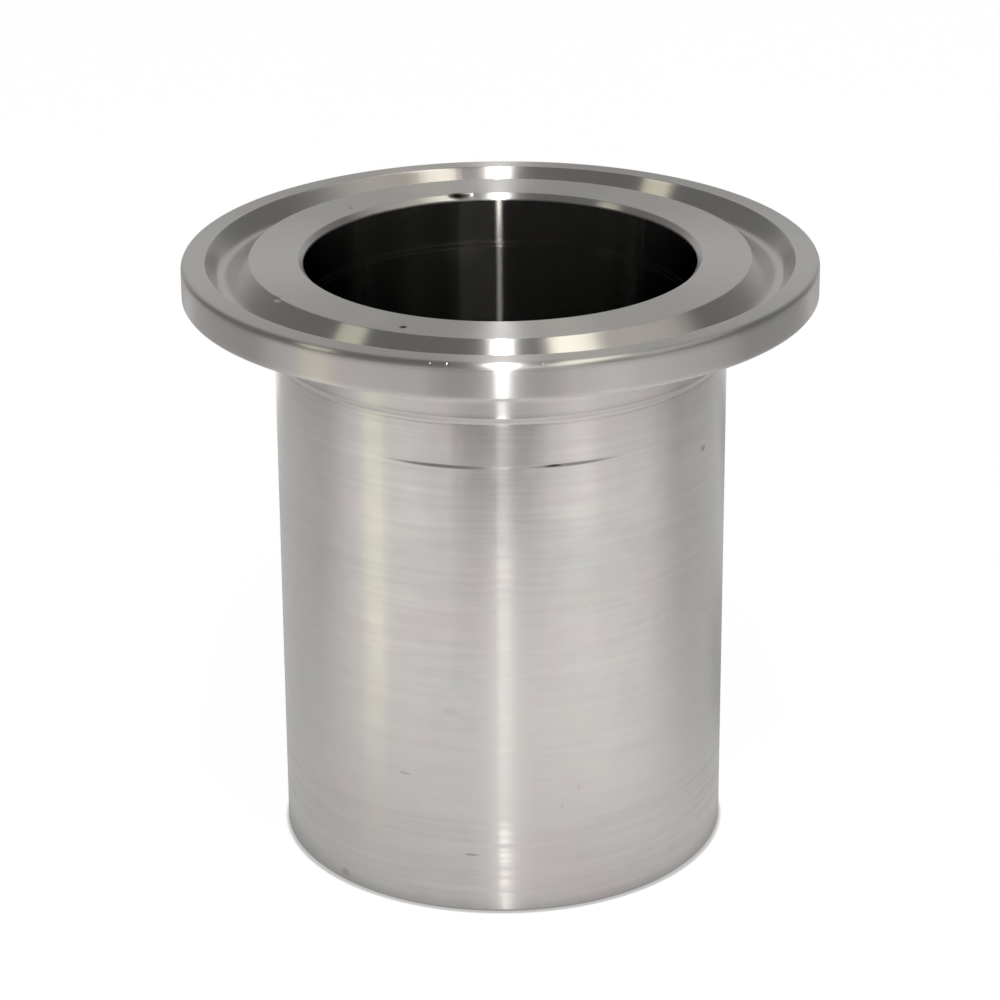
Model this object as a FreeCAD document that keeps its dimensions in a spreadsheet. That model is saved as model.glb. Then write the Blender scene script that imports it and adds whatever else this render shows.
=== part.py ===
import FreeCAD, Part
import math
import os

import Sketcher

# Sanitary clamp threaded adapter, turned from one piece of stainless bar.
# It stands on its threaded end. Z is the turning axis and Z = 0 is the foot face.
# The clamp flange is at the top, with a gasket groove in its sealing face and a
# tapered back that the two clamp halves ride up. The flow passage runs right through
# and is tapped with a parallel pipe thread from below: the bore has the tapping size.
# The thread is 33.25 mm outside, a one-inch one, and its tapping bore is 30.75 mm.

doc = FreeCAD.newDocument("clamp_threaded_adapter")


# Driving sizes, in millimetres and degrees
SIZES = [
    ("overall_height", 49.2, "foot face to sealing face"),
    ("flange_diameter", 50.5, "outside of the clamp rim"),
    ("flange_edge", 2.85, "straight height of the clamp rim"),
    ("clamp_taper", 20.0, "slope of the flange back, from the flange plane"),
    ("rim_round", 0.5, "round on the rim's top edge"),
    ("rim_low_break", 0.12, "chamfer on the rim's lower edge"),
    ("neck_diameter", 36.7, "short neck under the flange"),
    ("neck_depth", 6.9, "sealing face to the end of the neck"),
    ("neck_bevel", 0.65, "height of the bevel from the neck to the barrel"),
    ("barrel_diameter", 36.1, "plain barrel that holds the thread"),
    ("foot_edge_break", 0.25, "chamfer on the barrel's lower edge"),
    ("bore_diameter", 31.2, "counterbore behind the sealing face"),
    ("bore_depth", 4.15, "depth of the counterbore"),
    ("bore_step_height", 0.4, "height of the cone that ends the counterbore"),
    ("mouth_chamfer", 0.4, "chamfer where the bore meets the sealing face"),
    ("thread_wall", 1.425, "metal between the pipe thread's roots and the barrel's outside"),
    ("thread_cut", 1.25, "depth of the pipe thread, from its tapping bore to its roots"),
    ("entry_clearance", 0.4, "how much wider the entry is than the thread"),
    ("entry_angle", 45.0, "slope of the thread's entry, from the foot plane"),
    ("groove_inset", 3.32, "clamp rim to the centre of the gasket groove's round floor"),
    ("groove_depth", 1.6, "sealing face to the groove's floor"),
    ("groove_floor_round", 0.75, "radius of the groove's round floor"),
    ("groove_inner_angle", 42.0, "slope of the groove's inner wall"),
    ("groove_outer_angle", 58.0, "slope of the groove's outer wall"),
]

sheet = doc.addObject("Spreadsheet::Sheet", "Sizes")
for row, (alias, value, meaning) in enumerate(SIZES, start=1):
    sheet.set(f"A{row}", meaning)
    sheet.set(f"B{row}", str(value))
    sheet.setAlias(f"B{row}", alias)
doc.recompute()

# Heights and radii that follow from them, as formulas for the sketches
TOP = "Sizes.overall_height"
FLANGE_R = "Sizes.flange_diameter / 2"
NECK_R = "Sizes.neck_diameter / 2"
BARREL_R = "Sizes.barrel_diameter / 2"
BORE_R = "Sizes.bore_diameter / 2"
THREAD_R = f"{BARREL_R} - Sizes.thread_wall"
TAPPING_R = f"{THREAD_R} - Sizes.thread_cut"
ENTRY_R = f"{THREAD_R} + Sizes.entry_clearance / 2"
GROOVE_R = f"{FLANGE_R} - Sizes.groove_inset"
RIM_FOOT = f"{TOP} - Sizes.flange_edge"
RIM_BREAK_FOOT = f"{RIM_FOOT} - Sizes.rim_low_break * tan(Sizes.clamp_taper)"
TAPER_FOOT = f"{RIM_FOOT} - ({FLANGE_R} - {NECK_R}) * tan(Sizes.clamp_taper)"
NECK_FOOT = f"{TOP} - Sizes.neck_depth"
BEVEL_FOOT = f"{NECK_FOOT} - Sizes.neck_bevel"
ENTRY_TOP = "(Sizes.thread_cut + Sizes.entry_clearance / 2) * tan(Sizes.entry_angle)"
STEP_TOP = f"{TOP} - Sizes.bore_depth"
STEP_FOOT = f"{STEP_TOP} - Sizes.bore_step_height"
FLOOR_CENTRE = f"{TOP} - Sizes.groove_depth + Sizes.groove_floor_round"

# What a sketch calls the places on its geometry, its axes and its origin
START, END, CENTRE = range(1, 4)
RADIUS_AXIS = -1
TURNING_AXIS = -2
ORIGIN = (RADIUS_AXIS, START)

FULL_TURN = 360.0
SAME_PLACE = 1e-4


def value_of(formula):
    """The formula's present value as a plain number."""
    result = sheet.evalExpression(formula)
    return float(getattr(result, "Value", result))


def section_sketch(body, name):
    """An empty sketch on the body's own XZ plane: across is the radius, up is Z."""
    plane = next(o for o in body.Origin.OriginFeatures if o.Role == "XZ_Plane")
    sketch = body.newObject("Sketcher::SketchObject", name)
    sketch.AttachmentSupport = [(plane, "")]
    sketch.MapMode = "FlatFace"
    return sketch


def bind(sketch, constraint_name, kind, places, formula):
    """Add one named size to the sketch and bind it to its formula."""
    index = sketch.addConstraint(Sketcher.Constraint(kind, *places, value_of(formula)))
    sketch.renameConstraint(index, constraint_name)
    sketch.setExpression(f"Constraints.{constraint_name}", formula)


def bind_slope(sketch, constraint_name, places, formula):
    """The same for an angle, which a sketch holds in radians."""
    angle = math.radians(value_of(formula))
    index = sketch.addConstraint(Sketcher.Constraint("Angle", *places, angle))
    sketch.renameConstraint(index, constraint_name)
    sketch.setExpression(f"Constraints.{constraint_name}", f"{formula} * 1 deg")


def closed_section(sketch, corners):
    """A closed chain of lines through named corners, each placed by two formulas."""
    points = [FreeCAD.Vector(value_of(r), value_of(z), 0) for _, r, z in corners]
    count = len(corners)
    for i in range(count):
        sketch.addGeometry(Part.LineSegment(points[i], points[(i + 1) % count]))
    for i in range(count):
        sketch.addConstraint(Sketcher.Constraint("Coincident", i, END, (i + 1) % count, START))
    for i, (name, r, z) in enumerate(corners):
        if r == "0":
            sketch.addConstraint(Sketcher.Constraint("PointOnObject", i, START, TURNING_AXIS))
        else:
            bind(sketch, f"{name}_r", "DistanceX", ORIGIN + (i, START), r)
        if z == "0":
            sketch.addConstraint(Sketcher.Constraint("PointOnObject", i, START, RADIUS_AXIS))
        else:
            bind(sketch, f"{name}_z", "DistanceY", ORIGIN + (i, START), z)


def turned(body, kind, name, sketch):
    """A Revolution or a Groove of the sketch, one full turn about Z."""
    feature = body.newObject(f"PartDesign::{kind}", name)
    feature.Profile = sketch
    feature.ReferenceAxis = (sketch, ["V_Axis"])
    feature.Angle = FULL_TURN
    sketch.Visibility = False
    doc.recompute()
    return feature


def ring_edges(shape, places):
    """Names of the circular edges that lie at the given radii and heights."""
    names = []
    for radius, height in places:
        for i, edge in enumerate(shape.Edges, start=1):
            curve = edge.Curve
            if not isinstance(curve, Part.Circle):
                continue
            same_radius = abs(curve.Radius - radius) < SAME_PLACE
            same_height = abs(curve.Center.z - height) < SAME_PLACE
            if same_radius and same_height:
                names.append(f"Edge{i}")
    if len(names) != len(places):
        raise RuntimeError(f"found {len(names)} of {len(places)} edges at {places}")
    return names


def dressed(body, kind, name, places, size_property, formula):
    """A Fillet or a Chamfer on the circular edges at the given places."""
    base = body.Tip
    feature = body.newObject(f"PartDesign::{kind}", name)
    feature.Base = (base, ring_edges(base.Shape, places))
    feature.setExpression(size_property, formula)
    doc.recompute()
    return feature


body = doc.addObject("PartDesign::Body", "ThreadedAdapter")
body.Label = "threaded_adapter"


# Outside: barrel, bevel, neck, tapered flange back and rim
outside = section_sketch(body, "OutsideSection")
closed_section(outside, [
    ("axis_foot", "0", "0"),
    ("barrel_foot", BARREL_R, "0"),
    ("barrel_top", BARREL_R, BEVEL_FOOT),
    ("neck_foot", NECK_R, NECK_FOOT),
    ("taper_foot", NECK_R, TAPER_FOOT),
    ("rim_break_foot", f"{FLANGE_R} - Sizes.rim_low_break", RIM_BREAK_FOOT),
    ("rim_foot", FLANGE_R, f"{RIM_FOOT} + Sizes.rim_low_break"),
    ("rim_top", FLANGE_R, TOP),
    ("axis_top", "0", TOP),
])
blank = turned(body, "Revolution", "TurnedOutside", outside)


# Passage: thread entry, tapping bore, small cone and counterbore
passage = section_sketch(body, "PassageSection")
closed_section(passage, [
    ("passage_foot", "0", "0"),
    ("entry_foot", ENTRY_R, "0"),
    ("entry_top", TAPPING_R, ENTRY_TOP),
    ("step_foot", TAPPING_R, STEP_FOOT),
    ("step_top", BORE_R, STEP_TOP),
    ("mouth", BORE_R, TOP),
    ("passage_top", "0", TOP),
])
bored = turned(body, "Groove", "BoredPassage", passage)


# Gasket groove: two straight walls that run into a round floor
def groove_points():
    """Where the groove's walls meet the sealing face and its round floor."""
    centre = FreeCAD.Vector(value_of(GROOVE_R), value_of(FLOOR_CENTRE), 0)
    radius = value_of("Sizes.groove_floor_round")
    inner = math.radians(value_of("Sizes.groove_inner_angle"))
    outer = math.radians(value_of("Sizes.groove_outer_angle"))
    to_inner = FreeCAD.Vector(-math.sin(inner), -math.cos(inner), 0)
    to_outer = FreeCAD.Vector(math.sin(outer), -math.cos(outer), 0)
    inner_tangent = centre + to_inner * radius
    outer_tangent = centre + to_outer * radius
    top = value_of(TOP)
    inner_reach = (top - inner_tangent.y) / math.tan(inner)
    outer_reach = (top - outer_tangent.y) / math.tan(outer)
    inner_lip = FreeCAD.Vector(inner_tangent.x - inner_reach, top, 0)
    outer_lip = FreeCAD.Vector(outer_tangent.x + outer_reach, top, 0)
    return centre, radius, inner_lip, inner_tangent, outer_tangent, outer_lip


centre, floor_radius, inner_lip, inner_tangent, outer_tangent, outer_lip = groove_points()
floor_start = math.atan2(inner_tangent.y - centre.y, inner_tangent.x - centre.x)
floor_end = math.atan2(outer_tangent.y - centre.y, outer_tangent.x - centre.x)
floor_circle = Part.Circle(centre, FreeCAD.Vector(0, 0, 1), floor_radius)

groove = section_sketch(body, "GasketGrooveSection")
INNER_WALL = groove.addGeometry(Part.LineSegment(inner_lip, inner_tangent))
FLOOR = groove.addGeometry(Part.ArcOfCircle(floor_circle, floor_start, floor_end))
OUTER_WALL = groove.addGeometry(Part.LineSegment(outer_tangent, outer_lip))
FACE_LINE = groove.addGeometry(Part.LineSegment(outer_lip, inner_lip))
groove.addConstraint(Sketcher.Constraint("Tangent", INNER_WALL, END, FLOOR, START))
groove.addConstraint(Sketcher.Constraint("Tangent", FLOOR, END, OUTER_WALL, START))
groove.addConstraint(Sketcher.Constraint("Coincident", OUTER_WALL, END, FACE_LINE, START))
groove.addConstraint(Sketcher.Constraint("Coincident", FACE_LINE, END, INNER_WALL, START))
groove.addConstraint(Sketcher.Constraint("Horizontal", FACE_LINE))
bind(groove, "floor_radius", "Radius", (FLOOR,), "Sizes.groove_floor_round")
bind(groove, "floor_centre_r", "DistanceX", ORIGIN + (FLOOR, CENTRE), GROOVE_R)
bind(groove, "floor_centre_z", "DistanceY", ORIGIN + (FLOOR, CENTRE), FLOOR_CENTRE)
bind(groove, "face_z", "DistanceY", ORIGIN + (FACE_LINE, START), TOP)
bind_slope(groove, "inner_slope", (INNER_WALL, START, FACE_LINE, END), "Sizes.groove_inner_angle")
bind_slope(groove, "outer_slope", (FACE_LINE, START, OUTER_WALL, END), "Sizes.groove_outer_angle")
grooved = turned(body, "Groove", "GasketGroove", groove)


# Edges: the polished round on the rim and the small chamfers that take off the burrs
top = value_of(TOP)
rim_top_edge = [(value_of(FLANGE_R), top)]
mouth_edge = [(value_of(BORE_R), top)]
foot_edge = [(value_of(BARREL_R), 0.0)]
dressed(body, "Fillet", "RimTopEdge", rim_top_edge, "Radius", "Sizes.rim_round")
dressed(body, "Chamfer", "MouthEdge", mouth_edge, "Size", "Sizes.mouth_chamfer")
finished = dressed(body, "Chamfer", "FootEdge", foot_edge, "Size", "Sizes.foot_edge_break")
body.Placement = FreeCAD.Placement()
doc.recompute()


# Every object has to be sound, and every cut has to have taken metal away
for item in doc.Objects:
    faults = {"Invalid", "Error"} & set(item.State)
    if faults:
        raise RuntimeError(f"{item.Label} is {sorted(faults)}")
for sketch in (outside, passage, groove):
    if sketch.solve() != 0:
        raise RuntimeError(f"{sketch.Label} does not solve")
if not blank.Shape.Volume > bored.Shape.Volume > grooved.Shape.Volume > finished.Shape.Volume:
    raise RuntimeError("a cut took nothing away")
shape = body.Shape
if shape.isNull() or not shape.isValid() or len(shape.Solids) != 1:
    raise RuntimeError("the adapter is not one sound solid")

os.makedirs("parts", exist_ok=True)
shape.exportStep(f"parts/{body.Label}.step")
box = shape.optimalBoundingBox()
print(f"{body.Label}: {shape.Volume / 1000:.2f} cm3")
print(f"box {box.XLength:.2f} x {box.YLength:.2f} x {box.ZLength:.2f} mm")
print(f"groove edges at diameters {2 * inner_lip.x:.2f} and {2 * outer_lip.x:.2f} mm")
print(f"thread {2 * value_of(THREAD_R):.2f} mm outside, tapping bore {2 * value_of(TAPPING_R):.2f} mm")
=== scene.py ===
# %% [markdown]
# # A clamp adapter, turned from one bar
#
# This lesson dresses a small stainless fitting. One end is a flange that a pipe clamp grips, and the
# other end has a pipe thread inside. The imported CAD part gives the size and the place, and this script
# adds what a lathe leaves behind: fine rounds on every edge, tool lines, a few knocks, and the thread.

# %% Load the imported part
import cmath
import math

import bmesh
import bpy
from mathutils import Matrix, Vector, noise


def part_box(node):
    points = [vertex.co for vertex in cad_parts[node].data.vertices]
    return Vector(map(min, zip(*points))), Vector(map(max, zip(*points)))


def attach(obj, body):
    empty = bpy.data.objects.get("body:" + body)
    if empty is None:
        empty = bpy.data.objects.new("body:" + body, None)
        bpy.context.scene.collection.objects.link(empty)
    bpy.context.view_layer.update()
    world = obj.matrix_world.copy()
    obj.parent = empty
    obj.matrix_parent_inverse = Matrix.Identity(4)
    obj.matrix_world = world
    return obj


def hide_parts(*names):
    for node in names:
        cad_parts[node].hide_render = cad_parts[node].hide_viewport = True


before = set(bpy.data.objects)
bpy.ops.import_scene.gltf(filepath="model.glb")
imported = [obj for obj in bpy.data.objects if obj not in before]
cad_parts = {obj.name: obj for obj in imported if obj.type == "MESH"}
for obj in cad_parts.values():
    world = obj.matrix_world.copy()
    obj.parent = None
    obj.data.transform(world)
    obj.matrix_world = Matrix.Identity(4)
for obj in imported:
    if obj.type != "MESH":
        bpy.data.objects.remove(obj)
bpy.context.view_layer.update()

MM = 0.001
NODE = "threaded_adapter"
CAD_LOW, CAD_HIGH = (Vector(corner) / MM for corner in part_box(NODE))
TOP = CAD_HIGH.z
FLANGE_R = (CAD_HIGH.x - CAD_LOW.x) / 2
print(f"flange {2 * FLANGE_R:.2f} mm across, {TOP:.2f} mm high")

# %% [markdown]
# ## The camera
#
# A photograph is taken from somewhere. Fitting the outlines of the flange, the bore and the foot gave
# this place: about 30 cm away, looking down by 23 degrees, with a long lens. Three small turns put the
# picture straight. Blender's camera looks along its own -Z, so its matrix has the view's right, up and
# backward directions as its three columns.

# %% Camera
SENSOR_MM = 36.0
LENS_MM = 130.85
VIEW_DISTANCE_MM = 296.86
VIEW_HEIGHT_MM = 25.0
VIEW_DOWN = math.radians(22.922)
CAMERA_PAN = math.radians(-0.029)
CAMERA_TILT = math.radians(0.556)
CAMERA_ROLL = math.radians(-0.367)
NEAREST_SEEN_MM = 10.0


def photo_camera():
    pitch = CAMERA_TILT - VIEW_DOWN
    level = math.cos(pitch)
    ahead = Vector((math.sin(CAMERA_PAN) * level, math.cos(CAMERA_PAN) * level, math.sin(pitch)))
    right = Vector((math.cos(CAMERA_PAN), -math.sin(CAMERA_PAN), 0))
    right = Matrix.Rotation(-CAMERA_ROLL, 3, ahead) @ right
    up = right.cross(ahead)
    data = bpy.data.cameras.new("photo_camera")
    data.sensor_width = SENSOR_MM
    data.lens = LENS_MM
    data.clip_start = NEAREST_SEEN_MM * MM
    camera = bpy.data.objects.new("photo_camera", data)
    bpy.context.scene.collection.objects.link(camera)
    turned = Matrix((right, up, -ahead)).transposed().to_4x4()
    back = VIEW_DISTANCE_MM * math.cos(VIEW_DOWN)
    rise = VIEW_DISTANCE_MM * math.sin(VIEW_DOWN)
    camera.matrix_world = Matrix.Translation(Vector((0, -back, VIEW_HEIGHT_MM + rise)) * MM) @ turned
    return camera


bpy.context.scene.camera = photo_camera()
bpy.context.scene.view_settings.view_transform = "Standard"
print("camera at", [round(c / MM, 1) for c in bpy.context.scene.camera.location], "mm")

# %% [markdown]
# ## Sums on shader sockets
#
# A finish is a small sum: so much tool line, so much wear. Wiring each Math node by hand hides that
# sum, so this class wraps a socket and lets Python's own +, -, * and / add the Math nodes. `Nodes` adds
# any other node: its settings are set first, because they can change which sockets it has.

# %% Sockets that add up
class Value:
    def __init__(self, nodes, socket):
        self.nodes = nodes
        self.socket = socket

    def __add__(self, other):
        return self.nodes.maths("ADD", self, other)

    def __sub__(self, other):
        return self.nodes.maths("SUBTRACT", self, other)

    def __rsub__(self, other):
        return self.nodes.maths("SUBTRACT", other, self)

    def __mul__(self, other):
        return self.nodes.maths("MULTIPLY", self, other)

    def __truediv__(self, other):
        return self.nodes.maths("DIVIDE", self, other)

    __radd__ = __add__
    __rmul__ = __mul__


class Nodes:
    def __init__(self, owner):
        owner.use_nodes = True
        self.tree = owner.node_tree
        self.tree.nodes.clear()

    def add(self, kind, settings=None, inputs=None, output=0):
        node = self.tree.nodes.new(kind)
        for name, setting in (settings or {}).items():
            setattr(node, name, setting)
        for name, value in (inputs or {}).items():
            if isinstance(value, Value):
                self.tree.links.new(value.socket, node.inputs[name])
            else:
                node.inputs[name].default_value = value
        return Value(self, node.outputs[output]) if node.outputs else node

    def maths(self, operation, first, second=0.0):
        return self.add("ShaderNodeMath", {"operation": operation}, {0: first, 1: second})

    def vector(self, operation, first, second=(0, 0, 0)):
        kind = "ShaderNodeVectorMath"
        output = "Value" if operation in ("LENGTH", "DOT_PRODUCT") else "Vector"
        return self.add(kind, {"operation": operation}, {0: first, 1: second}, output)

    def smooth(self, value, low, high):
        """0 below low, 1 above high and a soft step between them."""
        settings = {"interpolation_type": "SMOOTHSTEP"}
        return self.add("ShaderNodeMapRange", settings, {"Value": value, "From Min": low, "From Max": high})

    def mix_colour(self, factor, first, second):
        """A Mix node has sockets for every kind of data: 6, 7 and output 2 are its colours."""
        settings = {"data_type": "RGBA"}
        return self.add("ShaderNodeMix", settings, {0: factor, 6: first, 7: second}, 2)

    def xyz(self, vector):
        return [self.add("ShaderNodeSeparateXYZ", None, {0: vector}, axis) for axis in range(3)]


# %% [markdown]
# ## A table, a room and the lamps
#
# Metal has hardly any look of its own: it shows the room. So the room comes before the finish. The
# fitting stands on a white table, and the metal mirrors that table. A pool of light is painted into the
# light that the table gives to mirrored rays: bright in front, dimmer to the sides, and bright once more
# far behind. A picture of a room could do the same, but a few soft steps over the table's own coordinates
# need no picture and are easy to move. Round patches of painted shade and painted light change the pool
# further. The largest is a painted reflection of the camera's round front, which darkens the pool in
# front of the fitting.

# %% The pool of light
POOL_MM = 122.0
POOL_END_MM = 142.0
BEYOND_POOL = 0.42
SIDE_START_MM = -42.0
SIDE_END_MM = 12.0
SIDE_SHADE = 0.42
AGAIN_START_MM = 88.0
AGAIN_END_MM = 104.0
AGAIN_GAIN = 0.95
TABLE_PATCHES = [
    # what it is (painted shade or light), centre x, y, radius where it is full, radius where it ends, share
    # of light it adds
    ("painted reflection of the camera front", -5, -168, 65, 72, -0.92),
    ("painted shade beside the camera", -155, -165, 60, 92, -0.42),
    ("painted shade on the right", 200, -50, 55, 92, -0.45),
    ("painted shade behind it", 190, 65, 50, 90, -0.35),
    ("painted shade by the foot", 29, 32, 8, 25, -0.30),
    ("painted shade beyond the foot", 47, 98, 12, 38, -0.35),
    ("painted shade on the left", -112, -140, 20, 50, -0.30),
    ("painted light on the right", 68, -91, 6, 28, 0.55),
    ("painted light on the left", -78, -80, 8, 34, 0.26),
    ("shade before the foot", -8, -25, 16, 40, -0.18),
]


def light_pool(n, place, y, distance):
    """How bright each spot of the table is in the metal's mirror."""
    pool = 1 - n.smooth(distance, POOL_MM * MM, POOL_END_MM * MM) * (1 - BEYOND_POOL)
    pool = pool * (1 - n.smooth(y, SIDE_START_MM * MM, SIDE_END_MM * MM) * SIDE_SHADE)
    pool = pool * (1 + n.smooth(y, AGAIN_START_MM * MM, AGAIN_END_MM * MM) * AGAIN_GAIN)
    for what, centre_x, centre_y, full_r, end_r, added in TABLE_PATCHES:
        offset = n.vector("SUBTRACT", place, (centre_x * MM, centre_y * MM, 0))
        inside = 1 - n.smooth(n.vector("LENGTH", offset), full_r * MM, end_r * MM)
        pool = pool * (1 + inside * added)
    return pool


print(len(TABLE_PATCHES), "patches on a pool of", 2 * POOL_MM, "mm")

# %% [markdown]
# One ray of warm lamplight crosses the table on the left. It starts near the foot and widens like a
# beam, so it is a range of angles round one point: the angle to each spot comes from ARCTAN2.

# %% The ray of lamplight
WARM_RAY_X_MM = -10.1
WARM_RAY_Y_MM = -15.0
WARM_RAY_ANGLE = math.radians(-68.0)
WARM_RAY_HALF = math.radians(7.0)
WARM_RAY_SOFT = math.radians(2.5)
WARM_RAY_GAIN = 0.30
WARM_RAY_START_MM = 35.0
WARM_RAY_FULL_MM = 70.0
LAMPLIGHT = (1.0, 1.0, 0.875, 1.0)


def lamplight_ray(n, x, y, distance):
    """1 along the ray of lamplight and 0 beside it."""
    angle = n.maths("ARCTAN2", x - WARM_RAY_X_MM * MM, WARM_RAY_Y_MM * MM - y)
    off_ray = n.maths("ABSOLUTE", angle - WARM_RAY_ANGLE)
    on_ray = 1 - n.smooth(off_ray, WARM_RAY_HALF - WARM_RAY_SOFT, WARM_RAY_HALF + WARM_RAY_SOFT)
    return on_ray * n.smooth(distance, WARM_RAY_START_MM * MM, WARM_RAY_FULL_MM * MM)


print(f"a ray {math.degrees(2 * WARM_RAY_HALF):.0f} degrees wide from {WARM_RAY_START_MM} mm outward")

# %% [markdown]
# Right beside the foot the fitting shades the table. Light Path tells the table who is looking. The
# camera sees plain white with a hair of shade along the foot, mirrored rays see the pool, and all the
# other light falls on the table as on any other, which keeps the real shadow.

# %% Finish of the table
CONTACT_START_MM = 18.2
CONTACT_END_MM = 20.2
CONTACT_SHADE = 0.38
FOOT_EDGE_MM = 18.05
FOOT_EDGE_END_MM = 18.38
FOOT_EDGE_SHADE = 0.50
BORE_SHADE_MM = 16.9
BORE_SHADE_END_MM = 17.1
OWN_SHARE = 0.92
TABLE_WHITE = 1.04
WHITE = (1.0, 1.0, 1.0, 1.0)
PALE_PAPER = (0.9, 0.9, 0.9, 1.0)
# the paper under the bore is painted near black: a painted shadow under the bore
PAINTED_SHADOW_UNDER_BORE = (0.02, 0.02, 0.02, 1.0)


def table_finish():
    material = bpy.data.materials.new("white_table")
    n = Nodes(material)
    place = n.add("ShaderNodeTexCoord", output="Object")
    x, y, z = n.xyz(place)
    distance = n.vector("LENGTH", place)
    on_ray = lamplight_ray(n, x, y, distance)
    contact = 1 - n.smooth(distance, CONTACT_START_MM * MM, CONTACT_END_MM * MM)
    pool = light_pool(n, place, y, distance) * (1 + on_ray * WARM_RAY_GAIN) * (1 - contact * CONTACT_SHADE)
    at_edge = 1 - n.smooth(distance, FOOT_EDGE_MM * MM, FOOT_EDGE_END_MM * MM)
    beside_bore = n.smooth(distance, BORE_SHADE_MM * MM, BORE_SHADE_END_MM * MM)
    camera_sees = n.add("ShaderNodeLightPath", output="Is Camera Ray")
    mirror_sees = n.add("ShaderNodeLightPath", output="Is Glossy Ray")
    strength = camera_sees * (TABLE_WHITE - at_edge * FOOT_EDGE_SHADE) + mirror_sees * pool
    tint = n.mix_colour(on_ray * (1 - camera_sees), WHITE, LAMPLIGHT)
    own_light = n.add("ShaderNodeEmission", None, {"Color": tint, "Strength": strength})
    paint = n.mix_colour(beside_bore, PAINTED_SHADOW_UNDER_BORE, PALE_PAPER)
    paper = n.add("ShaderNodeBsdfDiffuse", None, {"Color": paint})
    own_share = (camera_sees + mirror_sees) * beside_bore * OWN_SHARE
    both = n.add("ShaderNodeMixShader", None, {0: own_share, 1: paper, 2: own_light})
    n.add("ShaderNodeOutputMaterial", None, {"Surface": both})
    return material


# %% [markdown]
# The table itself is one flat face, wide enough to reach past the picture from every side.

# %% Table
TABLE_SIDE_MM = 3000.0


def table():
    half = TABLE_SIDE_MM / 2 * MM
    mesh = bpy.data.meshes.new("table")
    corners = [(-half, -half, 0), (half, -half, 0), (half, half, 0), (-half, half, 0)]
    mesh.from_pydata(corners, [], [(0, 1, 2, 3)])
    mesh.materials.append(table_finish())
    piece = bpy.data.objects.new("table", mesh)
    bpy.context.scene.collection.objects.link(piece)
    return piece


table()
print("table", TABLE_SIDE_MM, "mm wide")

# %% [markdown]
# The room around the table is dim and grey, and lighter behind the fitting, where the flat sealing face
# mirrors it. The world's Generated coordinate is the direction a ray leaves in, so the grey can follow
# that direction. The camera itself sees plain white wherever it looks past the table.

# %% Room
ROOM_GREY = 0.17
BACK_GREY = 0.50
BACK_DIRECTION = (0.0, 0.943, 0.334)
BACK_START = 0.72
BACK_FULL = 0.95


def room():
    world = bpy.data.worlds.new("grey_room")
    n = Nodes(world)
    direction = n.add("ShaderNodeTexCoord", output="Generated")
    behind = n.smooth(n.vector("DOT_PRODUCT", direction, BACK_DIRECTION), BACK_START, BACK_FULL)
    grey = ROOM_GREY + behind * (BACK_GREY - ROOM_GREY)
    camera_sees = n.add("ShaderNodeLightPath", output="Is Camera Ray")
    strength = grey + camera_sees * (1 - grey)
    sky = n.add("ShaderNodeBackground", None, {"Color": WHITE, "Strength": strength})
    n.add("ShaderNodeOutputWorld", None, {"Surface": sky})
    bpy.context.scene.world = world


room()
print("room grey", ROOM_GREY, "and behind", BACK_GREY)

# %% [markdown]
# Six flat lamps do the rest. Two narrow strips stand in front, one low and one high: turned metal draws
# them out into the thin bright line down the middle, and the gap between them keeps the flat face from
# glaring when it is seen from behind. Two soft lamps lie side by side over the right shoulder, and a warm
# one hangs on the left. A small lamp between the front and the right shoulder is there for the rounded
# edges, which mirror that height best. Each lamp is a strip between two directions, given as azimuth
# from the camera and height above the table, because a mirror only knows directions. Its power is
# worked out from how bright it should look, so a longer lamp doesn't look brighter by accident.

# %% Lamps
AIM = Vector((0, 0, 30.0))
LAMP_DISTANCE_MM = 700.0
LAMPS = [
    # name, one end, other end, width in degrees, brightness, tint
    ("low_front_lamp", (0.6, 3), (0.6, 10), 1.3, 118.0, (1.0, 1.0, 1.0)),
    ("high_front_lamp", (0.6, 33), (0.6, 80), 1.3, 84.0, (1.0, 1.0, 1.0)),
    ("soft_right_lamp", (24, 38), (136, 69), 13, 1.5, (1.0, 0.98, 0.86)),
    ("faint_right_lamp", (49, 31), (131, 53), 23, 0.40, (1.0, 0.98, 0.92)),
    ("warm_left_lamp", (-94, 53), (-72, 35), 10, 1.05, (1.0, 1.0, 0.77)),
    ("edge_lamp", (4, 30), (26, 30), 8, 2.3, (1.0, 1.0, 0.97)),
]


def direction_of(azimuth, elevation):
    side, up = math.radians(azimuth), math.radians(elevation)
    return Vector((math.sin(side) * math.cos(up), -math.cos(side) * math.cos(up), math.sin(up)))


def lamp(name, one_end, other_end, width, brightness, tint):
    first, second = direction_of(*one_end), direction_of(*other_end)
    toward = (first + second).normalized()
    long_way = (second - first).normalized()
    data = bpy.data.lights.new(name, "AREA")
    data.shape = "RECTANGLE"
    data.size = 2 * LAMP_DISTANCE_MM * math.tan(math.radians(width) / 2) * MM
    data.size_y = 2 * LAMP_DISTANCE_MM * math.tan(first.angle(second) / 2) * MM
    data.color = tint
    data.energy = brightness * math.pi * data.size * data.size_y
    piece = bpy.data.objects.new(name, data)
    bpy.context.scene.collection.objects.link(piece)
    facing = Matrix((long_way.cross(toward), long_way, toward)).transposed().to_4x4()
    piece.matrix_world = Matrix.Translation((AIM + toward * LAMP_DISTANCE_MM) * MM) @ facing
    piece.visible_camera = False
    return piece


for settings in LAMPS:
    print(settings[0], round(lamp(*settings).data.energy, 2), "W")

# %% [markdown]
# ## The section that the lathe cuts
#
# Everything but the thread is one outline turned round an axis. A complex number holds a point of that
# outline well: its real part is the radius, its imaginary part the height, and multiplying by a complex
# number turns a direction. No edge on a turned part is truly sharp, so each corner of the outline says
# how much it is rounded, and a short arc goes there. Those small rounds are what catch the light.

# %% Corners with rounds
ROUND_STEP = math.radians(14)


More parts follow.
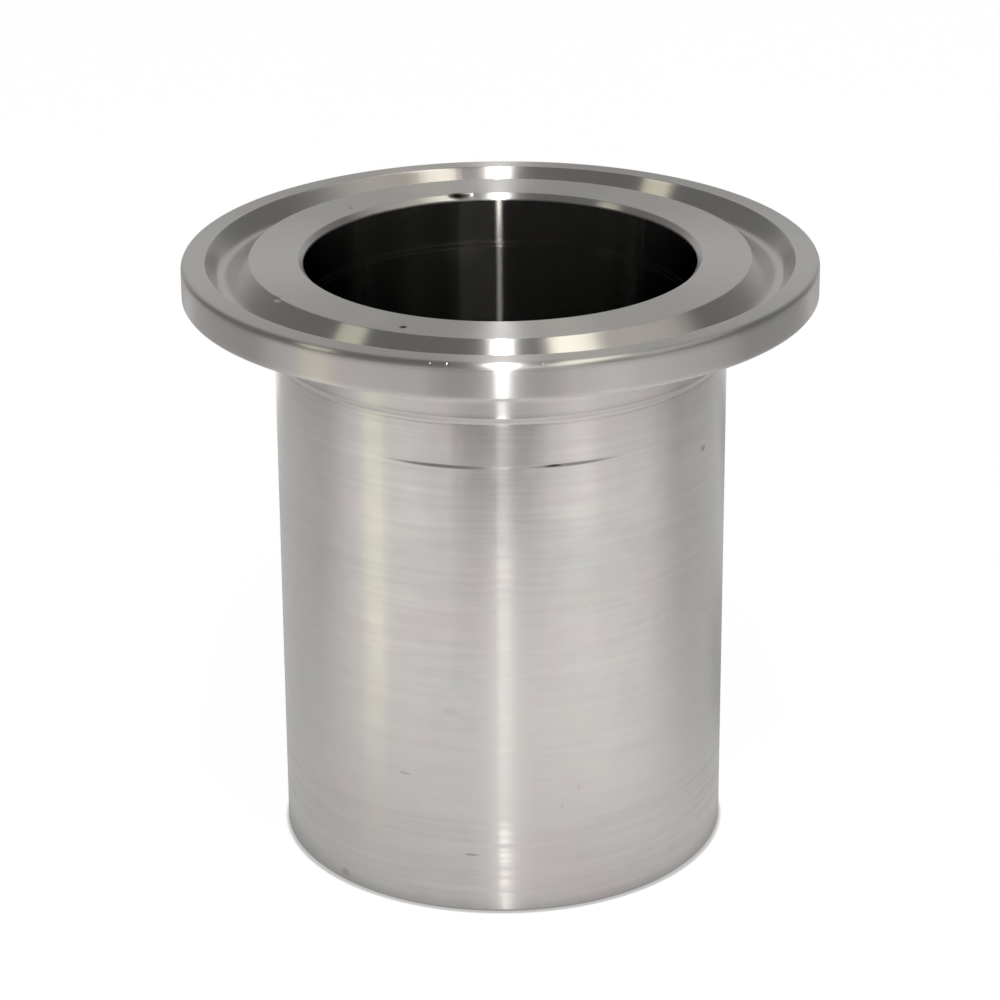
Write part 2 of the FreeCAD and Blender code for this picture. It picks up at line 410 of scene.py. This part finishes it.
def rounded_corner(before, corner, after, edge_round):
    """Points of the arc that rounds a corner of the outline."""
    along = (corner - before) / abs(corner - before)
    onward = (after - corner) / abs(after - corner)
    turn = cmath.phase(onward / along)
    start = corner - along * edge_round * math.tan(abs(turn) / 2)
    centre = start + along * 1j * math.copysign(edge_round, turn)
    steps = max(2, round(abs(turn) / ROUND_STEP))
    return [centre + (start - centre) * cmath.exp(1j * turn * k / steps) for k in range(steps + 1)]


print(len(rounded_corner(0, 1, 1 + 1j, 0.2)), "points round a right angle")

# %% [markdown]
# The sizes are those of the CAD part, in millimetres. Outside there are a 36.1 mm barrel, a bevel up to
# a slightly wider neck, and the flange with its straight rim and a clamp taper of 20 degrees behind it.

# %% Sizes of the outside
BARREL_R = 18.05
NECK_R = 18.35
NECK_FOOT = TOP - 6.9
BEVEL_FOOT = NECK_FOOT - 0.65
RIM_FOOT = TOP - 2.85
TAPER = math.tan(math.radians(20))
TAPER_FOOT = RIM_FOOT - (FLANGE_R - NECK_R) * TAPER
RIM_ROUND = 0.5
RIM_BREAK = 0.12
FOOT_BREAK = 0.25
print(f"neck from {NECK_FOOT:.2f} to {TAPER_FOOT:.2f} mm")

# %% [markdown]
# The gasket groove has two straight walls, which slope by 42 and 58 degrees and would meet in a point.
# A round floor takes that point's place, so the point is found first, from the groove's two edges.

# %% Sizes of the groove
GROOVE_INNER_R = 39.73 / 2
GROOVE_OUTER_R = 46.69 / 2
INNER_SLOPE = math.tan(math.radians(42))
OUTER_SLOPE = math.tan(math.radians(58))
GROOVE_FLOOR_ROUND = 0.75
GROOVE_REACH = (GROOVE_OUTER_R - GROOVE_INNER_R) * OUTER_SLOPE / (INNER_SLOPE + OUTER_SLOPE)
GROOVE_POINT_R = GROOVE_INNER_R + GROOVE_REACH
GROOVE_POINT_Z = TOP - GROOVE_REACH * INNER_SLOPE
print(f"groove floor {TOP - GROOVE_POINT_Z:.2f} mm down before its round")

# %% [markdown]
# The bore is 31.2 mm wide at its mouth and narrows a little 4 mm down, to the size that a tap needs. At
# the foot the thread opens it again.

# %% Sizes of the bore
BORE_R = 15.6
BORE_STEP = TOP - 4.15
TAPPING_R = 15.375
TAPPING_TOP = BORE_STEP - 0.4
MOUTH_BREAK = 0.4
THREAD_R = 16.625
ENTRY_R = 16.825
THREAD_TOP = 19.0
print(f"bore {2 * BORE_R:.2f} mm, then {2 * TAPPING_R:.2f} mm")

# %% [markdown]
# Five small things are the lathe's own, and only this mesh has them: a shallow line under the neck's
# bevel, a fine burr on the bevel's upper edge, a neck that widens by a hair toward the flange, a bright
# lip round the bore's mouth, and the narrowing of the bore, which it cuts as two tiny steps.

# %% What the lathe left
UNDERCUT = 0.006
UNDERCUT_RISE = 0.20
BURR = 0.003
LINE_STEP = 0.09
NECK_DRAFT = 0.07
LIP = 0.003
LIP_RUN = 0.14
SMALL_STEP_R = (BORE_R + TAPPING_R) / 2
LEDGE = 0.02
EDGE_ROUND = 0.002
print(f"two steps of {BORE_R - SMALL_STEP_R:.3f} mm in the bore")

# %% [markdown]
# The outline runs from the foot up the outside, over the face and down the bore. Each row is a corner,
# and the finishes are numbered in the order in which the materials come later.

# %% Outline of the section
BARREL, RIM, FACE, GROOVE, BORE, LEDGES, THREAD, FOOT = range(8)
OUTLINE = [
    # radius, height, edge round, rows in the run that starts here, its finish
    (ENTRY_R, 0.0, 0.0, 4, FOOT),
    (BARREL_R - FOOT_BREAK, 0.0, 0.06, 2, BARREL),
    (BARREL_R, FOOT_BREAK, 0.10, 26, BARREL),
    (BARREL_R, BEVEL_FOOT - UNDERCUT_RISE, 0.02, 1, BARREL),
    (BARREL_R - UNDERCUT, BEVEL_FOOT, 0.03, 1, RIM),
    (BARREL_R + UNDERCUT, BEVEL_FOOT + LINE_STEP, 0.03, 2, RIM),
    (NECK_R + BURR, NECK_FOOT - LINE_STEP, 0.03, 1, RIM),
    (NECK_R - BURR, NECK_FOOT + LINE_STEP, 0.03, 2, RIM),
    (NECK_R, NECK_FOOT + 3 * LINE_STEP, 0.05, 2, RIM),
    (NECK_R + NECK_DRAFT, TAPER_FOOT + NECK_DRAFT * TAPER, 0.30, 8, RIM),
    (FLANGE_R - RIM_BREAK, RIM_FOOT - RIM_BREAK * TAPER, 0.03, 1, RIM),
    (FLANGE_R, RIM_FOOT + RIM_BREAK, 0.04, 6, RIM),
    (FLANGE_R, TOP, RIM_ROUND, 5, FACE),
    (GROOVE_OUTER_R, TOP, 0.10, 5, GROOVE),
    (GROOVE_POINT_R, GROOVE_POINT_Z, GROOVE_FLOOR_ROUND, 6, GROOVE),
    (GROOVE_INNER_R, TOP, 0.10, 16, FACE),
    (BORE_R + MOUTH_BREAK, TOP, 0.12, 2, FACE),
    (BORE_R + LIP, TOP - MOUTH_BREAK, 0.16, 0, FACE),
    (BORE_R, TOP - MOUTH_BREAK - LIP_RUN, 0.02, 8, BORE),
    (BORE_R, BORE_STEP, EDGE_ROUND, 1, LEDGES),
    (SMALL_STEP_R, BORE_STEP - LEDGE, EDGE_ROUND, 1, BORE),
    (SMALL_STEP_R, TAPPING_TOP + LEDGE, EDGE_ROUND, 1, LEDGES),
    (TAPPING_R, TAPPING_TOP, EDGE_ROUND, 14, BORE),
    (TAPPING_R, THREAD_TOP, 0.0, 0, THREAD),
]


def turned_rows():
    """The rows of the turned surface, as (point of the outline, finish)."""
    corners = [complex(r, z) for r, z, *rest in OUTLINE]
    rows = []
    for i, (r, z, edge_round, count, finish) in enumerate(OUTLINE):
        if 0 < i < len(OUTLINE) - 1:
            arc = rounded_corner(corners[i - 1], corners[i], corners[i + 1], edge_round)
        else:
            arc = [corners[i]]
        if rows:
            start, run_count, run_finish = rows[-1][0], OUTLINE[i - 1][3], rows[-1][1]
            for k in range(1, run_count + 1):
                rows.append((start + (arc[0] - start) * k / (run_count + 1), run_finish))
        rows += [(point, finish) for point in arc]
    return rows


ROWS = turned_rows()
print(len(ROWS), "turned rows")

# %% [markdown]
# ## Knocks from handling
#
# The photograph shows small marks: a nick on the bore's edge, two pits on the flat land, a nick on the
# groove's lip and three on the rim. A tool has also left a long shallow mark round the front of the
# barrel. A bump map would show them too, but a knock that is pressed into the mesh also catches the
# light on its own edge. Each row below is one of them.

# %% Knocks
KNOCKS = [
    # angle round the axis, radius, height, half length round the axis, half width across, depth
    (101.8, BORE_R + 0.30, TOP - 0.05, 1.05, 0.38, 0.20),
    (-113.1, 18.62, TOP, 0.22, 0.22, 0.07),
    (135.3, 17.10, TOP, 0.13, 0.15, 0.05),
    (-149.0, GROOVE_INNER_R + 0.08, TOP - 0.02, 0.50, 0.30, 0.14),
    (-101.7, FLANGE_R - 0.16, TOP - 0.15, 0.14, 0.14, 0.020),
    (-98.9, FLANGE_R - 0.16, TOP - 0.15, 0.14, 0.14, 0.015),
    (-82.7, FLANGE_R - 0.15, TOP - 0.15, 0.18, 0.18, 0.008),
    (-91.0, BARREL_R, TOP - 11.07, 9.4, 0.14, 0.004),
]
print(len(KNOCKS), "knocks, the deepest", max(depth for *rest, depth in KNOCKS), "mm")

# %% [markdown]
# A mark this small needs more mesh than its surroundings. A finer mesh everywhere would be heavy, so
# the columns round the part and the rows along its outline crowd together only where a knock lies.

# %% Rows and columns that crowd together
CROWDING = (-1.4, -1.0, -0.7, -0.35, 0.0, 0.35, 0.7, 1.0, 1.4)
COLUMN_COUNT = 228
LEAST_TURN = 1e-3
LEAST_END_MM = 0.02
LEAST_ROW_MM = 0.03


def crowded_columns():
    """Column angles: even ones, and more of them beside each knock."""
    angles = [math.tau * k / COLUMN_COUNT for k in range(COLUMN_COUNT)]
    for angle, radius, height, half_length, half_width, depth in KNOCKS:
        reach = half_length / radius
        angles += [(math.radians(angle) + reach * c) % math.tau for c in CROWDING]
    kept = []
    for angle in sorted(angles):
        if not kept or angle - kept[-1] > LEAST_TURN:
            kept.append(angle)
    return kept


def crowded_rows(rows):
    """The rows again, with more of them across each knock."""
    distances = [0.0]
    for (before, _), (here, _) in zip(rows, rows[1:]):
        distances.append(distances[-1] + abs(here - before))
    wanted = []
    for angle, radius, height, half_length, half_width, depth in KNOCKS:
        nearest = min(range(len(rows)), key=lambda i: abs(rows[i][0] - complex(radius, height)))
        wanted += [distances[nearest] + half_width * c for c in CROWDING]
    dense = []
    for i, (point, finish) in enumerate(rows[:-1]):
        dense.append((point, finish))
        start, end = distances[i], distances[i + 1]
        last = start
        for w in sorted(w for w in wanted if start + LEAST_END_MM < w < end - LEAST_END_MM):
            if w - last > LEAST_ROW_MM:
                dense.append((point + (rows[i + 1][0] - point) * (w - start) / (end - start), finish))
                last = w
    return dense + [rows[-1]]


COLUMNS = crowded_columns()
DENSE_ROWS = crowded_rows(ROWS)
print(len(DENSE_ROWS), "rows and", len(COLUMNS), "columns")

# %% [markdown]
# Each knock is a shallow bowl: full depth in its middle and none at its edge. Blender's `noise` moves
# that edge in and out a little, and gives the same result in every run.

# %% Pressing a knock in
KNOCK_REACH = 1.5
UNEVEN_EDGE = 0.25
UNEVEN_SCALE = 5.0
BOWL_SHAPE = 1.5


def sunk(place, angle, outward):
    """The place, pressed in where a knock reaches it."""
    radius, height = place.real, place.imag
    point = Vector((radius * math.cos(angle), radius * math.sin(angle), height))
    press = 0.0
    for knock_angle, knock_r, knock_z, half_length, half_width, depth in KNOCKS:
        turn = (angle - math.radians(knock_angle) + math.pi) % math.tau - math.pi
        round_way = turn * knock_r / half_length
        across = abs(place - complex(knock_r, knock_z)) / half_width
        distance = math.hypot(round_way, across)
        if distance < KNOCK_REACH:
            distance += UNEVEN_EDGE * noise.noise(point * UNEVEN_SCALE)
            press += depth * max(0.0, 1 - distance ** 2) ** BOWL_SHAPE
    normal = Vector((outward.real * math.cos(angle), outward.real * math.sin(angle), outward.imag))
    return point - normal * press


# %% [markdown]
# ## The pipe thread
#
# This is a one-inch parallel pipe thread: 11 turns to the inch, flanks at 27.5 degrees, and a rounded
# root. The standard gives its depth and that round as shares of the pitch.
#
# The thread winds up the bore from the foot, so level rows would cross its turns and look ragged. Here
# each row of the mesh climbs with the thread instead: after one turn round it has risen by one pitch and
# meets the row one turn above it. A row's radius then never changes, except in two places. At the foot a
# 45 degree cone opens the thread, and at the top it grows shallow, as the tap's tapered lead leaves it.
# One pitch is drawn by ten rows: flat crest, straight flank, round root, flank and crest again.

# %% Thread
PITCH = 25.4 / 11
FLANK = math.radians(27.5)
ROOT_ROUND = 0.137 * PITCH
THREAD_DEPTH = 0.6403 * PITCH
MIDDLE_R = THREAD_R - THREAD_DEPTH / 2
CREST_EDGE = PITCH / 4 + (MIDDLE_R - TAPPING_R) * math.tan(FLANK)
ROOT_EDGE = ROOT_ROUND * math.cos(FLANK)
RUNOUT = 3.5
HALF_PITCH_ROWS = [CREST_EDGE, (CREST_EDGE + ROOT_EDGE) / 2, ROOT_EDGE, ROOT_EDGE / 2]
ROW_OFFSETS = [-PITCH / 2] + [-s for s in HALF_PITCH_ROWS] + [0.0] + HALF_PITCH_ROWS[::-1]


def thread_radius(offset):
    """Radius of the thread at this distance from the middle of its root."""
    distance = abs(offset)
    if distance < ROOT_EDGE:
        return THREAD_R - ROOT_ROUND + math.sqrt(ROOT_ROUND ** 2 - distance ** 2)
    return max(TAPPING_R, MIDDLE_R + (PITCH / 4 - distance) / math.tan(FLANK))


def thread_point(offset, start_height, angle):
    height = min(max(start_height + angle / math.tau * PITCH, 0.0), THREAD_TOP)
    depth_left = min(1.0, (THREAD_TOP - height) / RUNOUT)
    radius = TAPPING_R + (thread_radius(offset) - TAPPING_R) * depth_left
    radius = max(radius, ENTRY_R - height)
    return Vector((radius * math.cos(angle), radius * math.sin(angle), height))


print(f"thread {2 * THREAD_R:.2f} mm outside, {PITCH:.3f} mm pitch, {THREAD_TOP / PITCH:.1f} turns")

# %% [markdown]
# ## One closed mesh
#
# The turned rows and the climbing rows share their columns. `bmesh` takes them as rings of points, and
# each face gets the number of its row's finish.

# %% Turned rows
def outward_direction(rows, i):
    """Direction out of the metal at a row, square to the outline."""
    before = rows[max(i - 1, 0)][0]
    after = rows[min(i + 1, len(rows) - 1)][0]
    return (after - before) / abs(after - before) * -1j


def add_turned_rows(mesh):
    grid = []
    for i, (place, finish) in enumerate(DENSE_ROWS):
        outward = outward_direction(DENSE_ROWS, i)
        grid.append([mesh.verts.new(sunk(place, angle, outward)) for angle in COLUMNS])
    for (_, finish), low, high in zip(DENSE_ROWS, grid, grid[1:]):
        for k in range(len(COLUMNS)):
            right = (k + 1) % len(COLUMNS)
            mesh.faces.new((low[k], low[right], high[right], high[k])).material_index = finish


# %% [markdown]
# After the last column a climbing row goes on as the row one turn above it, so its last face reaches up
# by as many rows as one pitch has.

# %% Climbing rows
THREAD_TURNS = range(-1, math.ceil(THREAD_TOP / PITCH) + 1)


def add_climbing_rows(mesh):
    rows = []
    for turn in THREAD_TURNS:
        for offset in ROW_OFFSETS:
            start_height = turn * PITCH + offset + PITCH / 2
            rows.append([mesh.verts.new(thread_point(offset, start_height, angle)) for angle in COLUMNS])
    for i in range(len(rows) - 1):
        for k in range(len(COLUMNS)):
            right = (k + 1) % len(COLUMNS)
            lift = len(ROW_OFFSETS) if right == 0 else 0
            if i + 1 + lift < len(rows):
                corners = (rows[i][k], rows[i + 1][k], rows[i + 1 + lift][right], rows[i + lift][right])
                mesh.faces.new(corners).material_index = THREAD


print(len(THREAD_TURNS) * len(ROW_OFFSETS), "climbing rows")

# %% [markdown]
# Where a climbing row would leave the thread at either end it is held level, and merging the points
# that fall together closes the joint. The faces go round the whole section, so the mesh is a closed
# ring with no end caps to hide. It is drawn in millimetres and then scaled to Blender's metres.

# %% Mesh of the adapter
MERGE_MM = 1e-5
NO_LENGTH_MM = 1e-6


def adapter_mesh():
    mesh = bmesh.new()
    add_turned_rows(mesh)
    add_climbing_rows(mesh)
    bmesh.ops.remove_doubles(mesh, verts=mesh.verts, dist=MERGE_MM)
    bmesh.ops.dissolve_degenerate(mesh, edges=mesh.edges, dist=NO_LENGTH_MM)
    loose = [v for v in mesh.verts if not v.link_faces]
    bmesh.ops.delete(mesh, geom=loose, context="VERTS")
    bmesh.ops.recalc_face_normals(mesh, faces=mesh.faces)
    bmesh.ops.scale(mesh, vec=(MM, MM, MM), verts=mesh.verts)
    for face in mesh.faces:
        face.smooth = True
    open_edges = sum(1 for edge in mesh.edges if len(edge.link_faces) != 2)
    print(len(mesh.faces), "faces,", open_edges, "open edges")
    print("volume", round(mesh.calc_volume() / MM ** 3), "mm3")
    data = bpy.data.meshes.new("turned_adapter")
    mesh.to_mesh(data)
    mesh.free()
    return data


# %% [markdown]
# The piece stands in for the imported solid: it rides on the part's root body, and the solid is hidden.
# Weighted normals keep the flat bands flat beside their tiny rounds.

# %% The adapter
adapter = bpy.data.objects.new("turned_adapter", adapter_mesh())
bpy.context.scene.collection.objects.link(adapter)
even = adapter.modifiers.new("even_shading", "WEIGHTED_NORMAL")
even.mode = "FACE_AREA"
even.keep_sharp = False
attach(adapter, "root")
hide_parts(NODE)
print(adapter.name, "replaces", NODE)

# %% [markdown]
# ## Turned and satin steel
#
# A lathe leaves fine grooves that run round the part. They scatter light across the grooves and hardly
# along them, which is why a lamp is drawn out into a line up the barrel. In the shader that is the
# Anisotropic value, with a rotation of a quarter turn. On top of it come three things: tool lines, which
# are a very shallow bump and a change of sheen, cloudy patches where the polish differs, and dark marks,
# some of them stains and some painted shade.
#
# The tool lines need a coordinate that counts along the outline and stays the same round the part. For
# a barrel that is the height, and for a face the radius, so their sum serves both.

# %% Finish helpers
LINE_WAY = 1.37
GRAIN_ROUGHNESS = 0.6
GRAIN_MIDDLE = 0.5
STAIN_OR_SHADE_CORE = 0.3


def lathe_coordinates(n, round_scale, across_scale):
    """Noise coordinates that are slow round the axis and quick across the tool's path."""
    x, y, z = n.xyz(n.add("ShaderNodeTexCoord", output="Object"))
    radius = n.maths("SQRT", x * x + y * y)
    across = (radius + z * LINE_WAY) * (across_scale / MM)
    inputs = {0: x / radius * round_scale, 1: y / radius * round_scale, 2: across}
    return n.add("ShaderNodeCombineXYZ", None, inputs)


def grain(n, coordinates, scale=1.0, detail=0.0):
    inputs = {"Vector": coordinates, "Scale": scale, "Detail": detail, "Roughness": GRAIN_ROUGHNESS}
    return n.add("ShaderNodeTexNoise", None, inputs, "Fac")


def stain_or_shade_mark(n, place, centre, size):
    """1 in the middle of a stain or a patch of painted shade and 0 outside it. Centre and size are in
    millimetres.
    """
    offset = n.vector("SUBTRACT", place, [c * MM for c in centre])
    stretched = n.vector("MULTIPLY", offset, [1 / (s * MM) for s in size])
    return 1 - n.smooth(n.vector("LENGTH", stretched), STAIN_OR_SHADE_CORE, 1.0)


# %% [markdown]
# These are the dark marks that the mesh doesn't show. Some are the steel's own: specks and stains on the
# barrel. The rest are painted shade: the dark inside of three knocks, and the shade in the tool mark round
# the front. Each one is a soft ellipsoid in space that darkens and dulls the steel inside it, so it needs
# no image.

# %% Stains and painted shade
STAIN_OR_SHADE_MARKS = [
    # centre x, y, z, then half sizes, and how dark
    # specks and stains on the barrel
    ((-2.55, -17.85, 5.10), (0.70, 2.0, 0.13), 0.34),
    ((-7.77, -16.29, 11.57), (0.65, 2.0, 0.20), 0.15),
    ((-4.13, -17.57, 17.49), (1.00, 2.0, 0.50), 0.04),
    ((-12.79, -12.73, 0.87), (0.50, 2.0, 0.45), 0.16),
    ((5.95, -17.04, 10.62), (0.17, 2.0, 0.35), 0.09),
    ((4.61, -17.45, 9.16), (0.16, 2.0, 0.26), 0.11),
    ((15.78, -8.76, 36.01), (0.25, 2.0, 0.30), 0.24),
    # painted shade: the dark inside of three knocks
    ((-3.25, 15.55, 49.10), (1.40, 0.60, 0.50), 1.00),
    ((-7.30, -17.13, 49.20), (0.38, 0.34, 0.30), 1.00),
    ((-12.20, 12.05, 49.20), (0.18, 0.18, 0.20), 0.50),
    # painted shade in the tool mark round the front
    ((-3.90, -17.60, 38.13), (6.00, 9.0, 0.20), 0.50),
    ((5.20, -17.60, 38.13), (4.60, 9.0, 0.18), 0.42),
    ((3.90, -17.62, 38.16), (0.85, 2.0, 0.15), 0.45),
]
# colour and dulling for both the stains and the painted shade
STAIN_OR_SHADE_COLOUR = (0.03, 0.027, 0.025, 1.0)
STAIN_OR_SHADE_DULLING = 0.5
print(len(STAIN_OR_SHADE_MARKS), "smudges")

# %% [markdown]
# The satin barrel has two things more than the other finishes. Its upper end, next to the neck, is
# polished a little better. Its lowest 8 mm were cut finer, so the bright line is narrower and stronger
# there. Anisotropy has to stay one plain number, so the finer cut is a second shader, and this share
# says where it shows: below that height, and there only along some of the tool lines.

# %% What only the barrel has
FINE_CUT_TOP_MM = 8.6
FINE_CUT_FULL_MM = 7.6
FINE_CUT_SHARE = 0.60
FINE_LINES_START = 0.55
FINE_LINES_FULL = 1.25
POLISH_START_MM = 30.0
POLISH_FULL_MM = 35.0
POLISH = 0.035
FINE_CUT_WAVER_MM = 1.0
FINE_CUT_ANISOTROPY = 1.0


def fine_cut_share(n, z, patches, both_lines):
    height = z + (patches - GRAIN_MIDDLE) * (FINE_CUT_WAVER_MM * MM)
    below = 1 - n.smooth(height, FINE_CUT_FULL_MM * MM, FINE_CUT_TOP_MM * MM)
    return below * n.smooth(both_lines, FINE_LINES_START, FINE_LINES_FULL) * FINE_CUT_SHARE


# %% [markdown]
# One function makes every finish but the bore's. The finishes differ in how rough they are, how strong
# their tool lines are, and in how far apart those lines lie. The steel's colour drifts a little between
# a warm and a cool grey, as brushed steel does.

# %% Steel
CLOUDS_PER_MM = 0.16
CLOUD_DETAIL = 2.0
PATCHES_PER_MM = 0.45
PATCH_DETAIL = 1.0
STREAKS_ROUND = 1.5
STREAKS_PER_MM = 1.0
LINES_ROUND = 2.0
STREAK_SHARE = 0.8
WARM_STEEL = (1.02, 0.985, 0.985)
COOL_STEEL = (0.985, 1.0, 0.985)
CLOUD_START = 0.35
CLOUD_FULL = 0.65
QUARTER_TURN = 0.25


def steel(name, colour, roughness, anisotropy, line_height, line_spacing, line_sheen, cloudiness):
    material = bpy.data.materials.new(name)
    n = Nodes(material)
    place = n.add("ShaderNodeTexCoord", output="Object")
    x, y, z = n.xyz(place)
    clouds = grain(n, place, CLOUDS_PER_MM / MM, CLOUD_DETAIL)
    patches = grain(n, place, PATCHES_PER_MM / MM, PATCH_DETAIL)
    streaks = grain(n, lathe_coordinates(n, STREAKS_ROUND, STREAKS_PER_MM))
    lines = grain(n, lathe_coordinates(n, LINES_ROUND, 1 / line_spacing))
    warm = [c * w for c, w in zip(colour, WARM_STEEL)] + [1.0]
    cool = [c * w for c, w in zip(colour, COOL_STEEL)] + [1.0]
    tint = n.mix_colour(n.smooth(clouds, CLOUD_START, CLOUD_FULL), cool, warm)
    # stains and painted shade darken and dull the steel
    dark = 0.0
    for centre, size, darkness in STAIN_OR_SHADE_MARKS:
        dark = stain_or_shade_mark(n, place, centre, size) * darkness + dark
    rough = roughness + (patches - GRAIN_MIDDLE) * cloudiness + (lines - GRAIN_MIDDLE) * line_sheen
    rough = rough + dark * STAIN_OR_SHADE_DULLING
    is_barrel = name == "satin_barrel"
    if is_barrel:
        rough = rough - n.smooth(z, POLISH_START_MM * MM, POLISH_FULL_MM * MM) * POLISH
    grooves = {"Strength": 1.0, "Distance": line_height * MM, "Height": lines + streaks * STREAK_SHARE}
    inputs = {
        "Base Color": n.mix_colour(dark, tint, STAIN_OR_SHADE_COLOUR),
        "Metallic": 1.0,
        "Roughness": rough,
        "Anisotropic": anisotropy,
        "Anisotropic Rotation": QUARTER_TURN,
        "Normal": n.add("ShaderNodeBump", None, grooves),
    }
    surface = n.add("ShaderNodeBsdfPrincipled", None, inputs)
    if is_barrel:
        finer = inputs | {"Anisotropic": FINE_CUT_ANISOTROPY}
        fine_cut = n.add("ShaderNodeBsdfPrincipled", None, finer)
        share = fine_cut_share(n, z, patches, streaks + lines)
        surface = n.add("ShaderNodeMixShader", None, {0: share, 1: surface, 2: fine_cut})
    n.add("ShaderNodeOutputMaterial", None, {"Surface": surface})
    return material


# %% [markdown]
# The bore was finished finer than the outside, and its bright line is thin even far down. A Principled
# shader draws a highlight out by ten to one at most, and the Glossy shader goes further, so the bore
# uses that one. It stretches the other way round, which is why it needs no quarter turn. The setting
# chosen for the highlight's shape has no long tails, so the steel right beside the line stays dark.

# %% Bore
# the bore's steel is painted far darker than the outside's: painted shade for the deep, dim hole
SHADED_BORE_STEEL = (0.15, 0.145, 0.136)
BORE_ROUGHNESS = 0.25
BORE_DRAWN_OUT = 0.81
BORE_LINE_HEIGHT = 0.0010
BORE_LINE_SPACING = 0.55


def bore_finish(name):
    material = bpy.data.materials.new(name)
    n = Nodes(material)
    lines = grain(n, lathe_coordinates(n, LINES_ROUND, 1 / BORE_LINE_SPACING))
    grooves = {"Strength": 1.0, "Distance": BORE_LINE_HEIGHT * MM, "Height": lines}
    inputs = {
        "Color": [*SHADED_BORE_STEEL, 1.0],
        "Roughness": BORE_ROUGHNESS,
        "Anisotropy": BORE_DRAWN_OUT,
        "Normal": n.add("ShaderNodeBump", None, grooves),
    }
    surface = n.add("ShaderNodeBsdfAnisotropic", {"distribution": "BECKMANN"}, inputs)
    n.add("ShaderNodeOutputMaterial", None, {"Surface": surface})
    return material


# %% [markdown]
# Here are the finishes side by side, in the order of their numbers. The rim, the face and the groove are
# turned fine, the barrel is brushed and cloudier, and the thread and the foot are duller. The two narrow
# ledges in the bore are painted dark like the bore itself, as painted shade.

# %% The finishes
STEEL = (0.67, 0.65, 0.63)
# the ledges' steel is painted darker still: painted shade that fades their bright ring lines
SHADED_LEDGE_STEEL = (0.08, 0.077, 0.07)
FINISHES = {
    # name, then colour, roughness, anisotropy, line height and spacing in mm, change of sheen, cloudiness
    "satin_barrel": (STEEL, 0.25, 0.88, 0.0038, 0.55, 0.06, 0.06),
    "turned_rim": (STEEL, 0.25, 1.0, 0.0010, 0.45, 0.02, 0.03),
    "turned_face": (STEEL, 0.28, 1.0, 0.0006, 0.45, 0.01, 0.02),
    "turned_groove": (STEEL, 0.22, 1.0, 0.0004, 0.40, 0.01, 0.01),
    "dark_bore": None,  # the bore has a shader of its own
    "darker_ledges": (SHADED_LEDGE_STEEL, 0.23, 1.0, 0.0010, 0.55, 0.02, 0.03),
    "cut_thread": (STEEL, 0.36, 1.0, 0.0010, 0.30, 0.03, 0.05),
    "foot_face": (STEEL, 0.34, 1.0, 0.0010, 0.40, 0.03, 0.04),
}
for name, settings in FINISHES.items():
    adapter.data.materials.append(steel(name, *settings) if settings else bore_finish(name))
print(len(FINISHES), "finishes")
